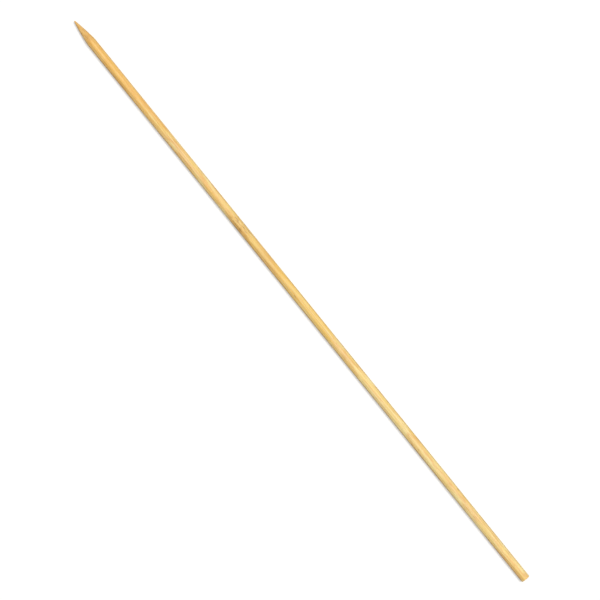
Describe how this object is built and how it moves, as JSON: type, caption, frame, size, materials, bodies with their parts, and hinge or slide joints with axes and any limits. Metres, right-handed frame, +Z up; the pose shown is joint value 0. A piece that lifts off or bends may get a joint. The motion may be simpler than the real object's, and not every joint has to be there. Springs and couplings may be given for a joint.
{
  "type": "wooden skewer",
  "caption": "Long round bamboo skewer with a ground point at one end and a square sawn butt, for threading and grilling food.",
  "frame": {"origin": "middle of the sawn butt face, on the stick's own axis", "axes": "+X along the stick from the butt to the point; the stick lies on its side, with +Z up and its lowest line at Z = -2 mm"},
  "size_m": [0.3, 0.004, 0.004],
  "materials": {
    "bamboo": "satin"
  },
  "bodies": {
    "root": {"skewer": "bamboo"}
  },
  "joints": []
}
